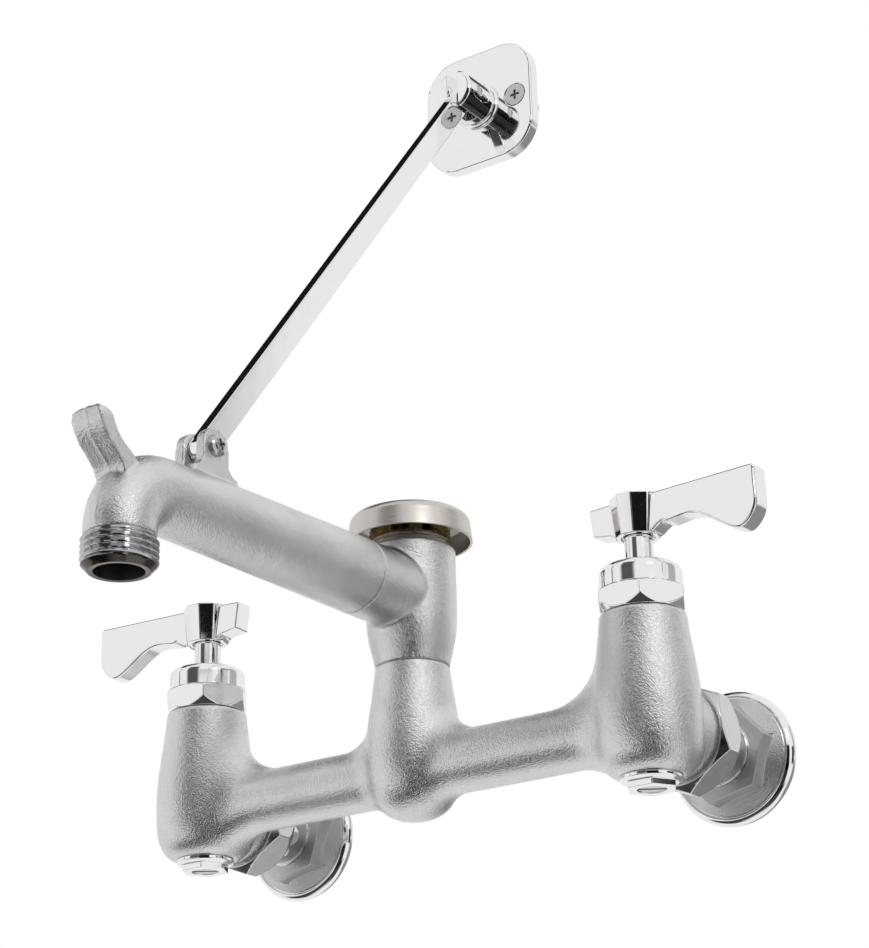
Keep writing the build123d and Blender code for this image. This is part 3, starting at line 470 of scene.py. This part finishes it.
# ---- castings ----
# where a cutter has been: radii about the valves, the column and the breaker, and depths of bores
TOWER_FACE_R = 17 * MM
TOWER_BORE_R, TOWER_BORE_Z = 13.2 * MM, 8 * MM
STOP_BORE_R, STOP_BORE_Z = 7.8 * MM, 4 * MM
COLUMN_SEAT_R = 15 * MM
TAIL_FACE = 17.0 * MM                        # behind the valves, where the tails are cut
BREAKER_BORE_R = 13.2 * MM
BREAKER_FRONT = 12.5 * MM                    # the bore is left out beyond this, towards the spout
EAR_SLOT_X, EAR_SLOT_Z = 2.9 * MM, 82.2 * MM


def body_machined(points):
    """Tops and feet of the towers, the tails' faces, the bores and the column's seat."""
    x, y, z = points.T
    tower = np.hypot(np.abs(x) - valve_x, y - valve_y)
    column = np.hypot(x, y - valve_y)
    tops = near(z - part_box("valve_body")[1].z, 1.5 * MM) * (tower < TOWER_FACE_R)
    foot = near(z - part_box("valve_body")[0].z, 1.5 * MM)
    backs = np.clip((y - valve_y - TAIL_FACE) / MM, 0, 1)
    tower_bore = (tower < TOWER_BORE_R) & (z > TOWER_BORE_Z)
    stop_bore = (tower < STOP_BORE_R) & (z < STOP_BORE_Z)
    bores = tower_bore | stop_bore
    seat = near(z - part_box("valve_body")[1].z, 0.8 * MM) * (column < COLUMN_SEAT_R)
    return np.maximum.reduce([tops, foot, backs, bores.astype(float), seat])


def breaker_machined(points):
    """Rim under the hood, the spigot, the bores and the joint with the spout."""
    x, y, z = points.T
    radius = np.hypot(x, y - valve_y)
    rim = near(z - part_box("breaker_body")[1].z, 1.2 * MM)
    spigot = (z < column_top - 0.2 * MM).astype(float)
    bores = (radius < BREAKER_BORE_R) & (y > valve_y - BREAKER_FRONT)
    face = near(y - joint_y, 0.8 * MM)
    return np.maximum.reduce([rim, spigot, bores.astype(float), face])


def spout_machined(points):
    """Spigot and its face, the slot between the ears, and the neck above the thread."""
    x, y, z = points.T
    spigot = (y > joint_y + 0.2 * MM).astype(float)
    face = near(y - joint_y, 0.8 * MM)
    slot = (np.abs(x) < EAR_SLOT_X) & (z > EAR_SLOT_Z) & (y > outlet_y + 30 * MM)
    neck = near(z - thread_top, 1.0 * MM) * (y < outlet_y + 15 * MM)
    return np.maximum.reduce([spigot, face, 0.6 * slot, neck])


def spout_seam(points):
    """Parting line down the front of the hook and the elbow."""
    x, y, z = points.T
    line = np.exp(-(x / (0.55 * MM)) ** 2)
    return 0.22 * MM * line * (y < outlet_y - 1 * MM) * (z > thread_top + 1.5 * MM)


def tube_axis_z(y):
    """Height of the spout tube's axis, which rises a little towards the breaker."""
    along = (y - (outlet_y + ELBOW_R)) / (joint_y - (outlet_y + ELBOW_R))
    return ELBOW_Z + (TUBE_Z - ELBOW_Z) * np.clip(along, 0, 1)


def spout_without_thread():
    """The spout, cut off above its hose thread."""
    form = bmesh.new()
    form.from_mesh(frame["nodes"]["spout"].data)
    bmesh.ops.remove_doubles(form, verts=form.verts, dist=WELD)
    cut = bmesh.ops.bisect_plane(form, geom=form.verts[:] + form.edges[:] + form.faces[:],
                                 plane_co=(0, 0, thread_top + 0.1 * MM), plane_no=(0, 0, -1),
                                 clear_outer=True)
    rim = [item for item in cut["geom_cut"] if isinstance(item, bmesh.types.BMEdge)]
    bmesh.ops.bridge_loops(form, edges=rim)
    bmesh.ops.recalc_face_normals(form, faces=form.faces)
    mesh = bpy.data.meshes.new("spout_cast_mesh")
    form.to_mesh(mesh)
    form.free()
    return mesh


casting("valve_body_cast", welded("valve_body"), "valve_body", 0.7, body_machined)
casting("breaker_body_cast", welded("breaker_body"), "breaker_body", 0.55, breaker_machined)
spout_cast = casting("spout_cast", spout_without_thread(), "spout", 0.6, spout_machined, spout_seam)


def in_spout_waterway(points):
    """Within WATERWAY_R of the axis of the tube, the elbow or the outlet."""
    x, y, z = points.T
    past_elbow = y - (outlet_y + ELBOW_R)
    under_elbow = z - (ELBOW_Z - ELBOW_R)
    in_bend = np.abs(np.hypot(past_elbow, under_elbow) - ELBOW_R)
    from_bend = np.hypot(x, np.where((past_elbow < 0) & (under_elbow > 0), in_bend, 1.0))
    from_drop = np.hypot(x, np.where(under_elbow <= 0, y - outlet_y, 1.0))
    from_tube = np.hypot(x, np.where(past_elbow >= 0, z - tube_axis_z(y), 1.0))
    nearest = np.minimum.reduce([from_bend, from_drop, from_tube])
    return nearest < WATERWAY_R


# painted shade inside the spout's waterway
darken(spout_cast, in_spout_waterway)


# ---- hose thread on the outlet ----
THREADS_PER_INCH = 11.5
THREAD_DEPTH = 1.35 * MM
LIP_R = 10.6 * MM                            # outer edge of the end face, where the chamfer starts
BORE_R = 8.6 * MM
CREST = 1.22                                 # height of the ridge before it is cut flat at 1
FLANK = 2.6                                  # and its fall in one turn of the thread


def outlet_thread():
    """One helical ridge, 11.5 threads to the inch, on a lathe-turned nose with a chamfered end."""
    pitch = 25.4 / THREADS_PER_INCH * MM
    crest_r = mounts["outlet"]["dims"]["r_mm"] * MM
    root_r = crest_r - THREAD_DEPTH
    around = 160
    steps = 96
    turn = np.linspace(0, 2 * pi, around, endpoint=False)
    top = thread_top + 0.4 * MM
    heights = np.linspace(top, thread_foot, steps)
    phase = ((heights[:, None] - thread_foot) / pitch + turn[None, :] / (2 * pi)) % 1.0
    ridge = np.clip(CREST - np.abs(phase - 0.5) * FLANK, 0.0, 1.0)
    fade = np.clip((thread_top - 0.5 * MM - heights) / (0.5 * MM), 0, 1)[:, None]
    radius = root_r + (crest_r - root_r) * ridge * fade
    chamfer = LIP_R + (heights - thread_foot)
    radius = np.minimum(radius, chamfer[:, None])
    rows = list(zip(radius, heights))
    inner = [(LIP_R - 0.35 * MM, thread_foot), (BORE_R + 0.5 * MM, thread_foot),
             (BORE_R + 0.12 * MM, thread_foot + 0.12 * MM), (BORE_R, thread_foot + 0.5 * MM),
             (BORE_R, top)]
    rows += [(np.full(around, r), z) for r, z in inner]
    verts = [(r[k] * cos(turn[k]), outlet_y + r[k] * sin(turn[k]), z)
             for r, z in rows for k in range(around)]
    count = len(rows)
    faces = []
    for i in range(count):
        low = ((i + 1) % count) * around
        for k in range(around):
            nxt = (k + 1) % around
            faces.append((i * around + k, i * around + nxt, low + nxt, low + k))
    mesh = bpy.data.meshes.new("outlet_thread_mesh")
    mesh.from_pydata(verts, [], faces)
    form = bmesh.new()
    form.from_mesh(mesh)
    bmesh.ops.recalc_face_normals(form, faces=form.faces)
    form.to_mesh(mesh)
    form.free()
    for face in mesh.polygons:
        face.use_smooth = True
    mesh.set_sharp_from_angle(angle=radians(40))
    piece = fresh("outlet_thread", mesh, "faucet", "cast_chrome", "thread", "spout")
    bore_edge = BORE_R + 0.1 * MM
    # painted shade inside the thread's bore
    darken(piece, lambda points: np.hypot(points[:, 0], points[:, 1] - outlet_y) < bore_edge)


outlet_thread()


# ---- turned, milled and polished pieces ----
machined("hood", "faucet", "brushed_cap", "brushed_cap", edge=0.3)
machined("hood_screw", "faucet", "stainless_screw", "stainless_screw", edge=0.15)
machined("brace_screw", "faucet", "stainless_screw", "stainless_screw", edge=0.15)
machined("vent_cage", "faucet", "brass", "brass", edge=0.2)
machined("brace_bar", "brace", "polished_chrome", "polished_chrome", edge=0.35)
machined("bracket", "bracket", "polished_chrome", "polished_chrome", edge=0.3)
machined("wall_screws", "bracket", "stainless_screw", "stainless_screw", edge=0.15)
for side in SIDES:
    machined(side + "_wall_flange", "faucet", "polished_chrome", "flange", edge=0.2)
    machined(side + "_union_nut", "faucet", "satin_chrome", "satin_chrome", edge=0.35)
    machined(side + "_stop_cap", "faucet", "polished_chrome", "polished_chrome", edge=0.25)
    machined(side + "_bonnet", "faucet", "polished_chrome", "polished_chrome", edge=0.3)
    machined(side + "_handle", side + "_lever", "polished_chrome", "polished_chrome", edge=0.45)
    machined(side + "_index_button", side + "_lever", side + "_button", side + "_button", edge=0.2)
    machined(side + "_stem", side + "_lever", "polished_chrome", "polished_chrome", edge=0.2)
    machined(side + "_stop_screw", side + "_stop", "stainless_screw", "stainless_screw", edge=0.15)

# CAD nodes that keep their own shape take the finish of their slot
slot_of = {part["node"]: part["material_slot"] for part in frame["record"]["subparts"]}
replaced = {name for piece in bpy.context.scene.objects for name in piece.get("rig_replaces", [])}
for node, piece in frame["nodes"].items():
    if node not in replaced:
        for material_slot in piece.material_slots:
            material_slot.material = materials[slot_of[node]]


# ---- studio: white surround with dark flags, which give the chrome its contrast ----
SURROUND = 0.87                              # brightness of the surround that the chrome reflects
# one flag a row: azimuth from the front towards +X and half width, in degrees; lowest and highest
# direction, as the sine of the elevation; brightness there; softness in degrees
FLAGS = (
    (-107, 48, 0.72, 0.96, 0.01, 4),
    (-6, 18, -0.10, 0.74, 0.10, 5),
    (38, 23, -0.62, -0.03, 0.03, 5),
    (34, 22, -0.14, 0.29, 0.01, 3),
    (102, 14, -0.10, 0.27, 0.02, 3),
    (126, 14, 0.10, 0.62, 0.50, 2),
    (160, 42, -0.66, 0.04, 0.30, 8),
    (-54, 1.5, -0.05, 0.60, 0.10, 1),
    (0, 80, -0.94, -0.52, 0.06, 9),
)


def studio_world():
    """White to the camera; to the faucet, the surround and its flags."""
    world = bpy.data.worlds.new("studio")
    bpy.context.scene.world = world
    world.use_nodes = True
    tree = world.node_tree
    tree.nodes.clear()
    direction = add(tree, "ShaderNodeTexCoord").outputs["Generated"]
    axes = add(tree, "ShaderNodeSeparateXYZ", {0: direction}).outputs
    level = add(tree, "ShaderNodeCombineXYZ", {"X": axes["X"], "Y": axes["Y"]}).outputs[0]
    level = add(tree, "ShaderNodeVectorMath", {0: level}, operation="NORMALIZE").outputs["Vector"]
    tone = SURROUND
    for azimuth, half, low, high, bright, soft in FLAGS:
        edge = sin(radians(soft)) / 2
        mask = maths(tree, "MULTIPLY", remap(tree, axes["Z"], low - edge, low + edge),
                     remap(tree, axes["Z"], high + edge, high - edge))
        aim = (sin(radians(azimuth)), -cos(radians(azimuth)), 0)
        facing = add(tree, "ShaderNodeVectorMath", {0: level, 1: aim}, operation="DOT_PRODUCT")
        inside = remap(tree, facing.outputs["Value"], cos(radians(half + soft)), cos(radians(half - soft)))
        mask = maths(tree, "MULTIPLY", mask, inside)
        tone = maths(tree, "MULTIPLY", remap(tree, mask, 0.0, 1.0, 1.0, bright, smooth=False), tone)
    seen = add(tree, "ShaderNodeBackground", {"Color": (1.0, 1.0, 1.0, 1.0), "Strength": 1.0})
    lit = add(tree, "ShaderNodeBackground", {"Color": (1.0, 1.0, 1.0, 1.0), "Strength": tone})
    ray = add(tree, "ShaderNodeLightPath").outputs["Is Camera Ray"]
    mix = add(tree, "ShaderNodeMixShader", {0: ray, 1: lit.outputs[0], 2: seen.outputs[0]})
    add(tree, "ShaderNodeOutputWorld", {"Surface": mix.outputs[0]})


def soft_light(name, azimuth, elevation, distance, size, power):
    """Square soft box that looks at the middle of the faucet; angles in degrees."""
    data = bpy.data.lights.new(name, "AREA")
    data.shape = "SQUARE"
    data.size = size
    data.energy = power
    lamp = bpy.data.objects.new(name, data)
    bpy.context.scene.collection.objects.link(lamp)
    low, high = cad_box
    turn, rise = radians(azimuth), radians(elevation)
    back = Vector((sin(turn) * cos(rise), -cos(turn) * cos(rise), sin(rise)))
    lamp.location = (low + high) / 2 + back * distance
    lamp.rotation_euler = back.to_track_quat("Z", "Y").to_euler()


FLOOR_SIZE = 24.0
FLOOR_Z = -0.6


def studio_floor():
    """Wide pale floor, well below the faucet."""
    bpy.ops.mesh.primitive_grid_add(x_subdivisions=8, y_subdivisions=8, size=FLOOR_SIZE,
                                    location=(0, 0, FLOOR_Z))
    floor = bpy.context.active_object
    floor.name = "floor"
    material, tree, shader = start_material("floor", 0.0, 0.85)
    cloud = noise(tree, place(tree), 2.0, detail=2.0)
    finish_with(tree, shader, Base_Color=blend_colors(tree, cloud, (0.86, 0.86, 0.86), (0.89, 0.89, 0.89)))
    floor.data.materials.append(material)
    floor.visible_glossy = False


# fitted to the photograph: degrees, metres and millimetres of lens
CAMERA_AZIMUTH, CAMERA_ELEVATION, CAMERA_ROLL = 34.72, -21.29, -1.35
CAMERA_PLACE = (0.5259, -0.8047, -0.2350)
CAMERA_LENS = 94.6


def camera():
    """Front right and below, looking up at the faucet."""
    azimuth, elevation, roll = map(radians, (CAMERA_AZIMUTH, CAMERA_ELEVATION, CAMERA_ROLL))
    back = Vector((sin(azimuth) * cos(elevation), -cos(azimuth) * cos(elevation), sin(elevation)))
    right = Vector((cos(azimuth), sin(azimuth), 0))
    up = back.cross(right)
    across = right * cos(roll) + up * sin(roll)
    upward = up * cos(roll) - right * sin(roll)
    data = bpy.data.cameras.new("camera")
    data.lens = CAMERA_LENS
    data.sensor_width = 36.0
    data.clip_start = 0.05
    data.clip_end = 50.0
    eye = bpy.data.objects.new("camera", data)
    bpy.context.scene.collection.objects.link(eye)
    turned = Matrix((across, upward, back)).transposed().to_4x4()
    eye.matrix_world = Matrix.Translation(CAMERA_PLACE) @ turned
    bpy.context.scene.camera = eye


studio_world()
studio_floor()
soft_light("key", azimuth=62, elevation=24, distance=1.5, size=0.30, power=1.2)
camera()
bpy.context.scene.view_settings.view_transform = "Standard"
